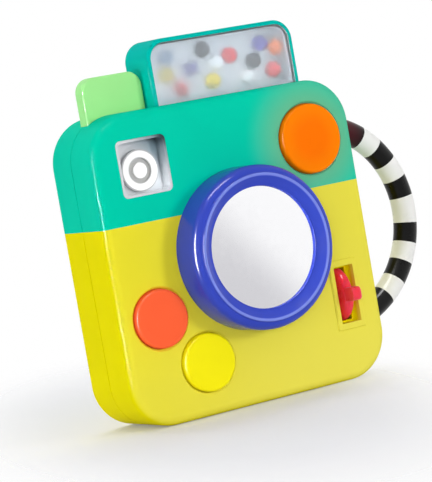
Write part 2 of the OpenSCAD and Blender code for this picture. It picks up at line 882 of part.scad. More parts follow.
module tab_spring() color("#c4c8cc") translate([tab_spring_x, 0, shelf_z]) difference() {
    cylinder(r = tab_spring_out, h = tab_foot_z - shelf_z);
    translate([0, 0, -past]) cylinder(r = tab_spring_in, h = tab_foot_z - shelf_z + 2 * past);
}

// The shelf under the tab, fixed to the rear shell, with the spring's spigot
module tab_guide() color("#2fae95") {
    translate([tab_x0 + tab_collar_in, shelf_front_y, shelf_z - shelf_t])
        cube([tab_w - 2 * tab_collar_in, in_back_y - shelf_front_y, shelf_t]);
    translate([tab_x0 + tab_collar_in, in_back_y - shelf_t, shelf_z - 3 * shelf_t])
        cube([tab_w - 2 * tab_collar_in, shelf_t, 3 * shelf_t]);
    translate([tab_spring_x, 0, shelf_z - bite]) cylinder(r = tab_spring_in - gap, h = shelf_t + bite);
}

// The viewfinder's outline, drawn in by some amount from its outer sides
module box_outline(inset, r) {
    translate([box_x, box_foot_z + box_h / 2]) rounded_rect(box_w - 2 * inset, box_h - 2 * inset, r);
}

module viewfinder_frame() color("#04c1b5") difference() {
    union() {
        translate([box_x, 0, box_foot_z]) pillow(box_w, box_h, box_d, box_r, box_edge);
        translate([box_x0 + box_flange_in, -box_d / 2 - box_flange_w, in_top_z - box_flange_t])
            cube([box_w - 2 * box_flange_in, box_d + 2 * box_flange_w, box_flange_t]);
    }
    along_y(-box_d, box_d) box_outline(box_wall, box_r - box_wall);
    along_y(-box_d, -window_in_y) box_outline(box_rim, box_r - box_rim);
    along_y(window_in_y, box_d) box_outline(box_rim, box_r - box_rim);
}

module front_window() color("#a5afbad0")
    along_y(-window_in_y - window_t, -window_in_y) box_outline(box_rim + pin_fit, box_r - box_rim);

module rear_window() color("#a5afbad0")
    along_y(window_in_y, window_in_y + window_t) box_outline(box_rim + pin_fit, box_r - box_rim);

module bead(i) color(BEADS[i][3]) {
    bead_x = bead_left_x + BEADS[i][0] * (bead_right_x - bead_left_x);
    bead_z = bead_low_z + BEADS[i][1] * (bead_high_z - bead_low_z);
    translate([bead_x, BEADS[i][2] * bead_end_y, bead_z]) sphere(bead_r);
}

module handle_tube() color("#ecebe8") difference() {
    union() {
        handle_arc(tube_r, -handle_in_turn, handle_in_turn, tube_bore_r);
        intersection() {
            union() {
                handle_arc(collar_r, handle_turn, handle_in_turn, tube_bore_r);
                handle_arc(collar_r, -handle_in_turn, -handle_turn, tube_bore_r);
            }
            along_y(in_front_y, in_back_y) cavity_outline(fit);
        }
    }
    band_sleeves(tube_r + fit);
}

// Black sleeves at every other stripe, the last one at each end running into the body
module band_sleeves(r) {
    for (s = [-1, 1], i = [0:2:band_count - 1]) {
        a0 = band_mid + i * band_pitch;
        a1 = i < band_count - 1 ? a0 + band_pitch : handle_turn + band_sink;
        handle_arc(r, s > 0 ? a0 : -a1, s > 0 ? a1 : -a0, tube_r - band_t);
    }
}

module handle_bands() color("#101010") band_sleeves(tube_r);

module main_board() color("#2f7d4f") difference() {
    along_y(pcb_y, pcb_y + pcb_t) translate([0, pcb_z]) square([pcb_w, pcb_h], center = true);
    for (p = pcb_spots()) bar_y(p[0], p[1], pcb_y - past, pcb_y + pcb_t + past, small_screw_r + fit);
}

module sound_chip() color("#1c1c20") translate([0, pcb_y - chip_t / 2, pcb_z])
    cube([chip_w, chip_t, chip_w], center = true);

module power_switch() color("#303034") translate([0, pcb_y + pcb_t + slide_t / 2, pcb_z])
    cube([slide_w, slide_t, slide_h], center = true);

module power_knob() color("#f2f2f0") translate([-switch_travel / 2, 0, pcb_z]) {
    flange_back_y = in_back_y - gap;
    along_y(flange_back_y - knob_flange_t, flange_back_y)
        square([knob_flange_w, knob_flange_h], center = true);
    along_y(flange_back_y - bite, back_y + knob_proud) rounded_rect(knob_w, knob_h, knob_r);
    along_y(pcb_y + pcb_t + slide_t + gap, flange_back_y - bite) square(knob_stem, center = true);
}

module speaker_frame() color("#8a8d92") turned(speaker_x, in_back_y, speaker_z) {
    translate([speaker_r - speaker_rim_w, 0]) square([speaker_rim_w, speaker_rim_t]);
    translate([0, speaker_rim_t]) square([speaker_r, speaker_rim_w]);
    translate([0, speaker_rim_t]) square([magnet_r, speaker_rim_w + magnet_h]);
}

module speaker_cone() color("#3a3a3e") turned(speaker_x, in_back_y, speaker_z) {
    cone_r = speaker_r - speaker_rim_w;
    polygon([
        [0, speaker_rim_t - cone_t], [magnet_r / 2, speaker_rim_t - cone_t], [cone_r, cone_t],
        [cone_r, 2 * cone_t], [magnet_r / 2, speaker_rim_t], [0, speaker_rim_t]
    ]);
}

module battery_tray() color("#55585e") difference() {
    union() {
        along_y(bay_floor_y - bay_floor_t, in_back_y) translate([0, bay_z])
            square([bay_w + 2 * bay_wall, bay_h + 2 * bay_wall], center = true);
        along_y(in_back_y - tray_rim_t, in_back_y) translate([0, door_z])
            rounded_rect(door_w + 2 * tray_rim, door_h + 2 * tray_rim, door_r + tray_rim);
        bar_y(0, door_screw_z, in_back_y - screw_reach, in_back_y, door_boss_r);
    }
    along_y(bay_floor_y, in_back_y + past) translate([0, bay_z]) square([bay_w, bay_h], center = true);
    bar_y(0, door_screw_z, in_back_y - screw_reach + boss_wall, in_back_y + past, screw_r + pin_fit);
    for (s = [-1, 1]) translate([0, cell_wire_y(s), bay_z + s * cell_pitch / 2])
        along_x(-bay_w / 2 - bay_wall - past, -bay_w / 2 + past) circle(wire_r + fit);
}

// Places a thing made for a cell that points to the right at both cells, which point opposite ways
module at_cells() {
    for (s = [-1, 1]) translate([0, cell_y, bay_z + s * cell_pitch / 2])
        rotate([0, 0, s > 0 ? 180 : 0]) children();
}

module batteries() color("#c9a23a") at_cells() {
    along_x(-cell_len / 2, cell_len / 2 - nub_h) circle(cell_r);
    along_x(cell_len / 2 - nub_h - bite, cell_len / 2) circle(nub_r);
}

// A plate against the tray's end wall with the button or the coil that touches the cell
module contact(r) {
    translate([bay_w / 2 - contact_t, -cell_r, -cell_r]) cube([contact_t, 2 * cell_r, 2 * cell_r]);
    along_x(cell_len / 2, bay_w / 2 - contact_t / 2) circle(r);
}

module battery_contacts() color("#d4d6d8") at_cells() {
    contact(nub_r);
    rotate([0, 0, 180]) contact(coil_r);
}

module battery_door() color("#e4d931") difference() {
    along_y(in_back_y, back_y) translate([0, door_z]) rounded_rect(door_w, door_h, door_r);
    bar_y(0, door_screw_z, in_back_y - past, back_y + past, screw_r + fit);
    bar_y(0, door_screw_z, back_y - wall / 2, back_y + past, screw_head_r + gap);
}

module door_screw() color("#b8bcc2") {
    reach = screw_reach - 2 * boss_wall - wall;
    screw(0, back_y - wall / 2, door_screw_z, screw_head_r, wall / 2, screw_r, reach);
}

// A wire along a list of points, with a small ball in each bend
module wire(points) {
    last = len(points) - 1;
    for (i = [0:last - 1]) {
        v = points[i + 1] - points[i];
        translate(points[i]) rotate([0, acos(v[2] / norm(v)), atan2(v[1], v[0])])
            cylinder(r = wire_r, h = norm(v));
    }
    for (i = [1:last - 1]) translate(points[i]) sphere(wire_bend_r);
}

// From the back of a switch board to a place on the front of the main board
function board_wire(b, x, z) = [
    [b[0], board_y + board_t, b[1]], [b[0], wire_y, b[1]], [x, wire_y, z], [x, pcb_y, z]
];

// From the lamp of the flash, down past the shelf, to the main board
function flash_wire(x, z) = [
    [flash_x, flash_led_y, flash_z], [flash_x, flash_led_y + wire_clear, flash_z],
    [flash_x, flash_led_y + wire_clear, shelf_z - wire_drop], [x, wire_y, z], [x, pcb_y, z]
];

// From under the tab's switch to the main board
function tab_wire(x, z) = [
    [tab_rib_x, 0, shelf_z - shelf_t], [tab_rib_x, 0, shelf_z - wire_drop], [x, wire_y, z], [x, pcb_y, z]
];

// From the loudspeaker's back plate to the back of the main board
function speaker_wire(z) = [
    [speaker_wire_x, speaker_plate_y, speaker_z], [speaker_wire_x, speaker_plate_y - wire_clear, speaker_z],
    [speaker_wire_x, speaker_plate_y - wire_clear, z], [speaker_wire_x, pcb_y + pcb_t, z]
];

// From a battery contact through the tray's end wall to the back of the main board
function cell_wire_y(s) = cell_y + s * cell_wire_step;
function cell_wire(s, z) = [
    [-bay_w / 2, cell_wire_y(s), bay_z + s * cell_pitch / 2],
    [cell_wire_x, cell_wire_y(s), bay_z + s * cell_pitch / 2],
    [cell_wire_x, cell_wire_y(s), z], [cell_wire_x, pcb_y + pcb_t, z]
];

// Where a wire lands on the main board, as a share of the board's width and height
function landing_x(share) = pcb_w * (share - 0.5);
function landing_z(share) = pcb_z + pcb_h * (share - 0.5);

module wires() color("#c23a34") {
    wire(board_wire(CORAL, landing_x(0.1), landing_z(0.375)));
    wire(board_wire(YELLOW, landing_x(0.25), landing_z(0.15)));
    wire(board_wire(ORANGE, landing_x(0.85), landing_z(0.8)));
    wire(flash_wire(landing_x(0.15), landing_z(0.7)));
    wire(tab_wire(landing_x(0.25), landing_z(0.8)));
    wire(speaker_wire(landing_z(0.9)));
    wire(cell_wire(-1, landing_z(0.25)));
    wire(cell_wire(1, landing_z(0.35)));
}

front_shell_upper();
front_shell_lower();
rear_shell_upper();
rear_shell_lower();
shell_screws();
lens_ring();
mirror();
mirror_backing();
lens_screws();
coral_button();
yellow_button();
orange_button();
coral_spring();
yellow_spring();
orange_spring();
switch_boards();
tact_switches();
board_screws();
leds();
flash_reflector();
flash_lens();
thumb_wheel();
wheel_axle();
wheel_housing();
click_leaf();
shutter_tab();
tab_spring();
tab_guide();
viewfinder_frame();
front_window();
rear_window();
bead(0);  // bead_1
bead(1);  // bead_2
bead(2);  // bead_3
bead(3);  // bead_4
bead(4);  // bead_5
bead(5);  // bead_6
bead(6);  // bead_7
bead(7);  // bead_8
bead(8);  // bead_9
bead(9);  // bead_10
bead(10);  // bead_11
bead(11);  // bead_12
bead(12);  // bead_13
handle_tube();
handle_bands();
main_board();
sound_chip();
power_switch();
power_knob();
speaker_frame();
speaker_cone();
battery_tray();
battery_contacts();
batteries();
battery_door();
door_screw();
wires();
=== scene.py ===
import math

import bmesh
import bpy
from mathutils import Matrix, Vector


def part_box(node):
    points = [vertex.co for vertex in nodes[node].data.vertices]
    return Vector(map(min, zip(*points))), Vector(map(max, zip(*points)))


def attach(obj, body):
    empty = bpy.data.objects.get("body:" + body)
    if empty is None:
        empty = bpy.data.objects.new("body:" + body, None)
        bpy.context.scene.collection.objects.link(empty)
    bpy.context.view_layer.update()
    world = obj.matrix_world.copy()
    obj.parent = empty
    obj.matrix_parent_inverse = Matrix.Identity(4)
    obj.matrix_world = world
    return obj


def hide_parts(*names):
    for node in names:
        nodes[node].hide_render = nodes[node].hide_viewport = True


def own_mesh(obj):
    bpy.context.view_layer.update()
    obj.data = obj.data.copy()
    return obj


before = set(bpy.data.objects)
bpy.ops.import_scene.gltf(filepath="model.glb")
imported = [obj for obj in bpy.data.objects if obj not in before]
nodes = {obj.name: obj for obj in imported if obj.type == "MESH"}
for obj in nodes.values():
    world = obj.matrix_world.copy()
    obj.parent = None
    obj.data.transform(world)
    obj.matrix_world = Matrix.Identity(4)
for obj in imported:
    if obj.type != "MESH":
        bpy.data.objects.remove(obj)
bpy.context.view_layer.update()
MM = 0.001

# Where things are on the part, in millimetres. Pairs are X and Z on the front
FRONT_Y = -19.0
LENS = (1.5, 67.3)
ORANGE = (43.1, 108.5)
FLASH = (-41.7, 110.3)
FLASH_LENS = (-41.7, 108.8)
WHEEL = (48.5, 38.0)
BOX_X = 11.6
BOX_HALF_W = 37.7
BOX_TOP = 162.4
BOX_R = 9.0
BOX_SKIN = 1.3
BOX_SLEEVE_Y = 8.1


def srgb(r, g, b):
    """Linear colour from eight-bit values."""
    def one(c):
        c = c / 255
        return c / 12.92 if c <= 0.04045 else ((c + 0.055) / 1.055) ** 2.4
    return (one(r), one(g), one(b), 1.0)


def mm(*values):
    """Metres from millimetres."""
    return tuple(v * MM for v in values)


# Camera, at the angle of the photograph: azimuth, elevation and roll in degrees, target, distance and
# sensor in millimetres, focal length and image in pixels, clipping in metres
CAMERA_TURN = (-31.29, 3.79, -9.89)
CAMERA_TARGET = (-13.22, FRONT_Y, 73.08)
CAMERA_DISTANCE = 1051.76
CAMERA_FOCAL = 2459.36
IMAGE_SIZE = (432, 482)
SENSOR = 36.0
CLIP = (0.01, 100.0)


def direction(azimuth, elevation):
    """The way to a place round the object, in radians, azimuth 0 in front and growing to the right."""
    flat = math.cos(elevation)
    return Vector((math.sin(azimuth) * flat, -math.cos(azimuth) * flat, math.sin(elevation)))


def photo_camera():
    azimuth, elevation, roll = (math.radians(v) for v in CAMERA_TURN)
    back = direction(azimuth, elevation)
    right = (-back).cross(Vector((0, 0, 1))).normalized()
    up = right.cross(-back)
    x_axis = math.cos(roll) * right + math.sin(roll) * up
    y_axis = -math.sin(roll) * right + math.cos(roll) * up
    data = bpy.data.cameras.new("photo_camera")
    data.sensor_width = SENSOR
    data.lens = SENSOR * CAMERA_FOCAL / max(IMAGE_SIZE)
    data.clip_start, data.clip_end = CLIP
    cam = bpy.data.objects.new("photo_camera", data)
    bpy.context.scene.collection.objects.link(cam)
    place = Vector(CAMERA_TARGET) * MM + back * CAMERA_DISTANCE * MM
    turn = Matrix((x_axis, y_axis, back)).transposed().to_4x4()
    cam.matrix_world = Matrix.Translation(place) @ turn
    bpy.context.scene.camera = cam


photo_camera()
bpy.context.scene.view_settings.view_transform = "Standard"


# Node helpers

# Where most of a noise texture's values lie
NOISE_SPAN = (0.3, 0.7)


class Nodes:
    """A node tree and short ways to add to it."""

    def __init__(self, tree):
        self.tree = tree
        tree.nodes.clear()

    def add(self, kind, **values):
        node = self.tree.nodes.new(kind)
        for name, value in values.items():
            setattr(node, name, value)
        return node

    def link(self, a, b):
        self.tree.links.new(a, b)

    def put(self, socket, value):
        if isinstance(value, bpy.types.NodeSocket):
            self.link(value, socket)
        else:
            socket.default_value = value

    def math(self, op, a, b=0.0):
        node = self.add("ShaderNodeMath", operation=op)
        self.put(node.inputs[0], a)
        self.put(node.inputs[1], b)
        return node.outputs[0]

    def span(self, value, a, b, c=0.0, d=1.0):
        """The value eased from the span of a and b onto the span of c and d."""
        node = self.add("ShaderNodeMapRange", clamp=True, interpolation_type="SMOOTHSTEP")
        for socket, v in zip(node.inputs, (value, a, b, c, d)):
            self.put(socket, v)
        return node.outputs[0]

    def mix(self, share, a, b):
        node = self.add("ShaderNodeMix", data_type="RGBA")
        self.put(node.inputs[0], share)
        self.put(node.inputs[6], a)
        self.put(node.inputs[7], b)
        return node.outputs[2]

    def mix_shaders(self, share, a, b):
        node = self.add("ShaderNodeMixShader")
        for socket, output in zip(node.inputs, (share, a, b)):
            self.link(output, socket)
        return node.outputs[0]

    def noise(self, scale, detail, where):
        node = self.add("ShaderNodeTexNoise")
        node.inputs["Scale"].default_value = scale
        node.inputs["Detail"].default_value = detail
        self.link(where, node.inputs["Vector"])
        return node.outputs["Fac"]

    def split(self, vector):
        """X, Y and Z of a vector."""
        node = self.add("ShaderNodeSeparateXYZ")
        self.link(vector, node.inputs[0])
        return node.outputs

    def length(self, a, b):
        """Length of a flat vector from its two sides."""
        return self.math("SQRT", self.math("ADD", self.math("MULTIPLY", a, a), self.math("MULTIPLY", b, b)))

    def bump(self, height, strength, distance, bsdf):
        node = self.add("ShaderNodeBump")
        node.inputs["Strength"].default_value = strength
        node.inputs["Distance"].default_value = distance
        self.link(height, node.inputs["Height"])
        self.link(node.outputs[0], bsdf.inputs["Normal"])

    def uneven(self, noise, colour, vary):
        """A colour that the noise makes a little darker and lighter."""
        dark = tuple(c * (1 - vary) for c in colour[:3]) + (1.0,)
        light = tuple(min(1.0, c * (1 + vary)) for c in colour[:3]) + (1.0,)
        return self.mix(self.span(noise, *NOISE_SPAN), dark, light)

    def seen(self, path):
        """1 for what the camera sees, straight, mirrored or through glass, and 0 for what lights."""
        seen = self.math("MAXIMUM", path.outputs["Is Camera Ray"], path.outputs["Is Glossy Ray"])
        return self.math("MAXIMUM", seen, path.outputs["Is Transmission Ray"])


def new_material(name):
    """A material, its nodes, its output's surface and the place on the object."""
    mat = bpy.data.materials.new(name)
    mat.use_nodes = True
    n = Nodes(mat.node_tree)
    surface = n.add("ShaderNodeOutputMaterial").inputs[0]
    where = n.add("ShaderNodeTexCoord").outputs["Object"]
    return mat, n, surface, where


def new_principled(name):
    """A material with one Principled shader, its nodes, that shader and the place on the object."""
    mat, n, surface, where = new_material(name)
    bsdf = n.add("ShaderNodeBsdfPrincipled")
    n.link(bsdf.outputs[0], surface)
    return mat, n, bsdf, where


# Plastics: scales of the slow shifts and of the grain, what they do to the gloss, how deep the grain is,
# and how far light creeps under the skin
SLOW_SCALE, SLOW_DETAIL = 26.0, 3.0
FINE_SCALE, FINE_DETAIL = 420.0, 2.0
SLOW_GLOSS = 0.03
SLOW_GLOSS_SPAN = (0.25, 0.75)
FINE_GLOSS = 0.02
GRAIN_DEPTH = 0.0001
CREEP = 0.008
CREEP_RADIUS = (1.0, 0.6, 0.4)


def plastic(name, colour, rough, level, vary=0.03, coat=0.15, shine=0.1, paint=None, metal=0.0,
            grain=0.012, lit=0.0, soft=0.0):
    """A moulded plastic: slow shifts of tone, uneven gloss, a faint grain and a thin clear skin."""
    mat, n, bsdf, where = new_principled(name)
    slow = n.noise(SLOW_SCALE, SLOW_DETAIL, where)
    fine = n.noise(FINE_SCALE, FINE_DETAIL, where)
    tone = n.uneven(slow, colour, vary)
    if paint:
        tone = paint(n, where, tone)
    n.link(tone, bsdf.inputs["Base Color"])
    slow_gloss = n.span(slow, *SLOW_GLOSS_SPAN, -SLOW_GLOSS, SLOW_GLOSS)
    fine_gloss = n.span(fine, *NOISE_SPAN, rough - FINE_GLOSS, rough + FINE_GLOSS)
    n.link(n.math("ADD", slow_gloss, fine_gloss), bsdf.inputs["Roughness"])
    n.bump(fine, grain, GRAIN_DEPTH, bsdf)
    bsdf.inputs["Specular IOR Level"].default_value = level
    bsdf.inputs["Metallic"].default_value = metal
    bsdf.inputs["Coat Weight"].default_value = coat
    bsdf.inputs["Coat Roughness"].default_value = shine
    if soft:
        bsdf.inputs["Subsurface Weight"].default_value = soft
        bsdf.inputs["Subsurface Radius"].default_value = CREEP_RADIUS
        bsdf.inputs["Subsurface Scale"].default_value = CREEP
    if lit:
        n.link(tone, bsdf.inputs["Emission Color"])
        bsdf.inputs["Emission Strength"].default_value = lit
    return mat


# Metals: scales of the marks and of the slow shifts, and what the marks do
MARK_SCALE, MARK_DETAIL = 700.0, 3.0
METAL_SCALE, METAL_DETAIL = 60.0, 2.0
METAL_VARY = 0.08
MARK_GLOSS = 0.06
MARK_BUMP, MARK_DEPTH = 0.05, 0.0002


def metal(name, colour, rough):
    """A metal surface with drawn or cast marks."""
    mat, n, bsdf, where = new_principled(name)
    marks = n.noise(MARK_SCALE, MARK_DETAIL, where)
    slow = n.noise(METAL_SCALE, METAL_DETAIL, where)
    n.link(n.uneven(slow, colour, METAL_VARY), bsdf.inputs["Base Color"])
    n.link(n.span(marks, *NOISE_SPAN, rough - MARK_GLOSS, rough + MARK_GLOSS), bsdf.inputs["Roughness"])
    n.bump(marks, MARK_BUMP, MARK_DEPTH, bsdf)
    bsdf.inputs["Metallic"].default_value = 1.0
    return mat


# Frosted windows: scales of the slow shifts and of the frost, and the spread of its blur
PANE_SCALE, PANE_DETAIL = 40.0, 2.0
FROST_SCALE, FROST_DETAIL = 1500.0, 2.0
FROST_BLUR = (0.46, 0.52)
PANE_CLEAR = 0.9
PANE_IOR = 1.3
PANE_LEVEL = 0.3


def frosted(name, dark, light):
    """A frosted clear window: mostly let through and blurred, the rest milky."""
    mat, n, bsdf, where = new_principled(name)
    slow = n.noise(PANE_SCALE, PANE_DETAIL, where)
    fine = n.noise(FROST_SCALE, FROST_DETAIL, where)
    n.link(n.mix(n.span(slow, *NOISE_SPAN), dark, light), bsdf.inputs["Base Color"])
    n.link(n.span(fine, *NOISE_SPAN, *FROST_BLUR), bsdf.inputs["Roughness"])
    bsdf.inputs["Transmission Weight"].default_value = PANE_CLEAR
    bsdf.inputs["IOR"].default_value = PANE_IOR
    bsdf.inputs["Specular IOR Level"].default_value = PANE_LEVEL
    return mat


# Paints: each changes a plastic's tone by the place on the object. Spans given to mm() are in millimetres


def radius_from(n, where, spot):
    """Distance from a spot on the front, across X and Z."""
    x, _, z = n.split(where)
    return n.length(n.math("SUBTRACT", x, spot[0] * MM), n.math("SUBTRACT", z, spot[1] * MM))


def painted_glow_round_button(n, where, tone):
    """Painted glow: warm light from the lamp behind the orange button, painted on the wall round it."""
    near = n.span(radius_from(n, where, ORANGE), *mm(13, 34), 1.0, 0.0)
    ahead = n.span(n.split(where)[1], *mm(-4, -16), 0.0, 0.85)
    return n.mix(n.math("MULTIPLY", near, ahead), tone, srgb(110, 184, 140))


def painted_glow_on_band(n, where, tone):
    """Painted glow: the same light, painted on the end of the handle next to the button."""
    handle_end = (ORANGE[0] + 8, ORANGE[1] + 4)
    near = n.span(radius_from(n, where, handle_end), *mm(22, 34), 1.0, 0.0)
    return n.mix(near, tone, srgb(74, 18, 26))


def painted_sheen_to_right(n, where, tone):
    """A painted sheen: the yellow grows a little paler on the front, towards the right and the foot."""
    x, y, z = n.split(where)
    ahead = n.span(y, *mm(-16.5, -18.8))
    across = n.span(x, *mm(-66, 30), 0.3, 0.7)
    down = n.span(z, *mm(70, 0), 0.0, 0.25)
    return n.mix(n.math("MULTIPLY", ahead, n.math("ADD", across, down)), tone, srgb(231, 221, 86))


def painted_crest_highlight(n, where, tone):
    """A painted highlight: a paler blue along the thin crest of the lens ring."""
    r = radius_from(n, where, LENS)
    ahead = n.span(n.split(where)[1], *mm(-35.2, -35.7))
    band = n.math("MULTIPLY", n.span(r, *mm(30.2, 30.8)), n.span(r, *mm(31.9, 31.5)))
    return n.mix(n.math("MULTIPLY", ahead, band), tone, srgb(118, 134, 220))


def pale_inside(n, where, tone):
    """The pale sleeve that lines the viewfinder behind its windows, inside the box's rounded outline."""
    x, y, z = n.split(where)
    aside = n.math("ABSOLUTE", n.math("SUBTRACT", x, BOX_X * MM))
    aside = n.math("MAXIMUM", n.math("SUBTRACT", aside, (BOX_HALF_W - BOX_R) * MM), 0.0)
    above = n.math("MAXIMUM", n.math("SUBTRACT", z, (BOX_TOP - BOX_R) * MM), 0.0)
    inside = n.math("LESS_THAN", n.length(aside, above), (BOX_R - BOX_SKIN) * MM)
    deep = n.math("LESS_THAN", n.math("ABSOLUTE", y), BOX_SLEEVE_Y * MM)
    return n.mix(n.math("MULTIPLY", inside, deep), tone, srgb(218, 224, 228))


def painted_glow_rim(n, where, tone):
    """The orange button, lit from behind: a painted glow, a little yellower towards its rim."""
    r = radius_from(n, where, ORANGE)
    return n.mix(n.span(r, *mm(6, 14), 0.0, 0.6), tone, srgb(250, 134, 4))


def painted_shade_corner(n, where, tone):
    """Painted shadow on the flash tray's metallising: greyer and then nearly black towards its upper right
    corner.
    """
    x, _, z = n.split(where)
    right = n.math("SUBTRACT", x, FLASH[0] * MM)
    up = n.math("SUBTRACT", z, FLASH[1] * MM)
    corner = n.math("ADD", right, up)
    tone = n.mix(n.span(corner, *mm(1, 20), 0.0, 0.85), tone, srgb(104, 128, 138))
    return n.mix(n.span(corner, *mm(16.5, 22.5), 0.0, 0.9), tone, srgb(16, 28, 34))


def ringed(n, where, tone):
    """A grey ring moulded in the flash lens, and its grey rim."""
    r = radius_from(n, where, FLASH_LENS)
    ring = n.math("MULTIPLY", n.span(r, *mm(3.1, 3.7)), n.span(r, *mm(5.9, 5.3)))
    tone = n.mix(ring, tone, srgb(184, 184, 182))
    return n.mix(n.span(r, *mm(8.2, 8.6), 0.0, 0.8), tone, srgb(150, 150, 152))


# Materials: colour, roughness, specular level and what else differs from a common plastic

TEAL = plastic("teal_plastic", srgb(0, 199, 166), 0.42, 0.0, coat=0.06, shine=0.04, paint=painted_glow_round_button)
YELLOW = plastic("yellow_plastic", srgb(228, 217, 0), 0.42, 0.0, coat=0.06, shine=0.04, paint=painted_sheen_to_right)
# Painted light: a brighter yellow than the shell's for the housing inside the wheel opening, to lift its
# shade
BRIGHTENED_YELLOW = plastic("brightened_yellow_plastic", srgb(244, 232, 30), 0.42, 0.03, coat=0.0, soft=0.4)
BLUE = plastic("blue_plastic", srgb(50, 69, 184), 0.22, 0.1, coat=0.13, shine=0.05, grain=0.0,
               paint=painted_crest_highlight)
CORAL = plastic("coral_plastic", srgb(255, 97, 52), 0.4, 0.08, coat=0.12)
LEMON = plastic("lemon_plastic", srgb(247, 235, 4), 0.4, 0.07, coat=0.12)
AMBER = plastic("orange_plastic", srgb(250, 114, 0), 0.36, 0.01, coat=0.05, paint=painted_glow_rim, lit=0.04)
SILVER = plastic("silvered_plastic", srgb(206, 209, 212), 0.34, 0.3, coat=0.0, metal=0.5, paint=painted_shade_corner)
MILK = plastic("milky_plastic", srgb(252, 252, 250), 0.35, 0.3, paint=ringed)
RED = plastic("red_plastic", srgb(255, 56, 78), 0.3, 0.12, coat=0.2, soft=0.8)
GREEN = plastic("green_plastic", srgb(160, 232, 144), 0.38, 0.04, coat=0.12, shine=0.05)
BOX_TEAL = plastic("box_plastic", srgb(0, 184, 172), 0.36, 0.0, coat=0.05, shine=0.04, paint=pale_inside)
HANDLE_WHITE = plastic("white_plastic", srgb(234, 234, 231), 0.3, 0.2, vary=0.02, coat=0.12)
HANDLE_BLACK = plastic("black_rubber", srgb(10, 10, 9), 0.3, 0.15, coat=0.12, paint=painted_glow_on_band)
STEEL = metal("steel", srgb(190, 192, 196), 0.32)
BRASS = metal("brass", srgb(206, 168, 92), 0.34)
BOARD = plastic("board_green", srgb(36, 110, 66), 0.5, 0.4, vary=0.15)
BLACK = plastic("black_plastic", srgb(28, 28, 31), 0.45, 0.3)
GREY = plastic("grey_plastic", srgb(200, 200, 198), 0.5, 0.3)
LAMP = plastic("lamp_resin", srgb(250, 240, 214), 0.2, 0.5)
CELL = metal("cell_jacket", srgb(120, 140, 156), 0.36)
WIRE = plastic("wire_cover", srgb(190, 46, 40), 0.4, 0.4, vary=0.1)
BACKING = plastic("blue_backing", srgb(52, 64, 140), 0.5, 0.3)
MIRROR = plastic("mirror_foil", srgb(250, 250, 252), 0.1, 0.5, vary=0.005, coat=0.0, metal=1.0)
BEAD_COLOURS = {
    "blue": srgb(110, 146, 190), "black": srgb(38, 38, 44), "purple": srgb(82, 66, 164),
    "yellow": srgb(244, 212, 34), "red": srgb(232, 52, 58), "white": srgb(246, 246, 244),
    "orange": srgb(246, 118, 40),
}
BEADS = {c: plastic("bead_" + c, v, 0.25, 0.5) for c, v in BEAD_COLOURS.items()}
WINDOW = frosted("frosted_window", srgb(224, 231, 237), srgb(230, 235, 239))

BEAD_ORDER = (
    "blue", "black", "purple", "yellow", "red", "yellow", "white",
    "red", "purple", "orange", "black", "white", "red",
)
FINISH = {
    "front_shell_upper": TEAL, "rear_shell_upper": TEAL,
    "front_shell_lower": YELLOW, "rear_shell_lower": YELLOW,
    "shell_screws": STEEL, "lens_screws": STEEL, "board_screws": STEEL, "door_screw": STEEL,
    "lens_ring": BLUE, "mirror": MIRROR, "mirror_backing": BACKING,
    "coral_button": CORAL, "yellow_button": LEMON, "orange_button": AMBER,
    "coral_spring": STEEL, "yellow_spring": STEEL, "orange_spring": STEEL, "tab_spring": STEEL,
    "switch_boards": BOARD, "main_board": BOARD, "tact_switches": BLACK, "leds": LAMP,
    "flash_reflector": SILVER, "flash_lens": MILK,
    "thumb_wheel": RED, "wheel_axle": STEEL, "wheel_housing": BRIGHTENED_YELLOW, "click_leaf": BRASS,
    "shutter_tab": GREEN, "tab_guide": GREY,
    "viewfinder_frame": BOX_TEAL, "front_window": WINDOW, "rear_window": WINDOW,
    "handle_tube": HANDLE_WHITE, "handle_bands": HANDLE_BLACK,
    "sound_chip": BLACK, "power_switch": BLACK, "power_knob": GREY,
    "speaker_frame": BLACK, "speaker_cone": BLACK,
    "battery_tray": GREY, "battery_contacts": STEEL, "batteries": CELL,
    "battery_door": YELLOW, "wires": WIRE,
}
for number, colour in enumerate(BEAD_ORDER, 1):
    FINISH["bead_%d" % number] = BEADS[colour]
for name, obj in nodes.items():
    obj.data.materials.clear()
    obj.data.materials.append(FINISH[name])


# Pieces that are finer than the solids, in millimetres

WELD = 1e-7
SHARP_FROM = 38
LATHE_STEPS = 144


def add_mesh(name, verts, faces, mat, body, node):
    """A smooth mesh in millimetres that stands for a node and rides on a body."""
    mesh = bpy.data.meshes.new(name)
    mesh.from_pydata([Vector(v) * MM for v in verts], [], faces)
    mesh.validate()
    bm = bmesh.new()
    bm.from_mesh(mesh)
    bmesh.ops.remove_doubles(bm, verts=bm.verts, dist=WELD)
    bmesh.ops.recalc_face_normals(bm, faces=bm.faces)
    bm.to_mesh(mesh)
    bm.free()
    mesh.shade_smooth()
    mesh.set_sharp_from_angle(angle=math.radians(SHARP_FROM))
    mesh.materials.append(mat)
    obj = bpy.data.objects.new(name, mesh)
    bpy.context.scene.collection.objects.link(obj)
    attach(obj, body)
    if node:
        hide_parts(node)
    return obj


def arc(cx, cy, r, a0, a1, steps):
    """Points of an arc in a section, angles in degrees."""
    angles = [math.radians(a0 + (a1 - a0) * i / steps) for i in range(steps + 1)]
    return [(cx + r * math.cos(a), cy + r * math.sin(a)) for a in angles]


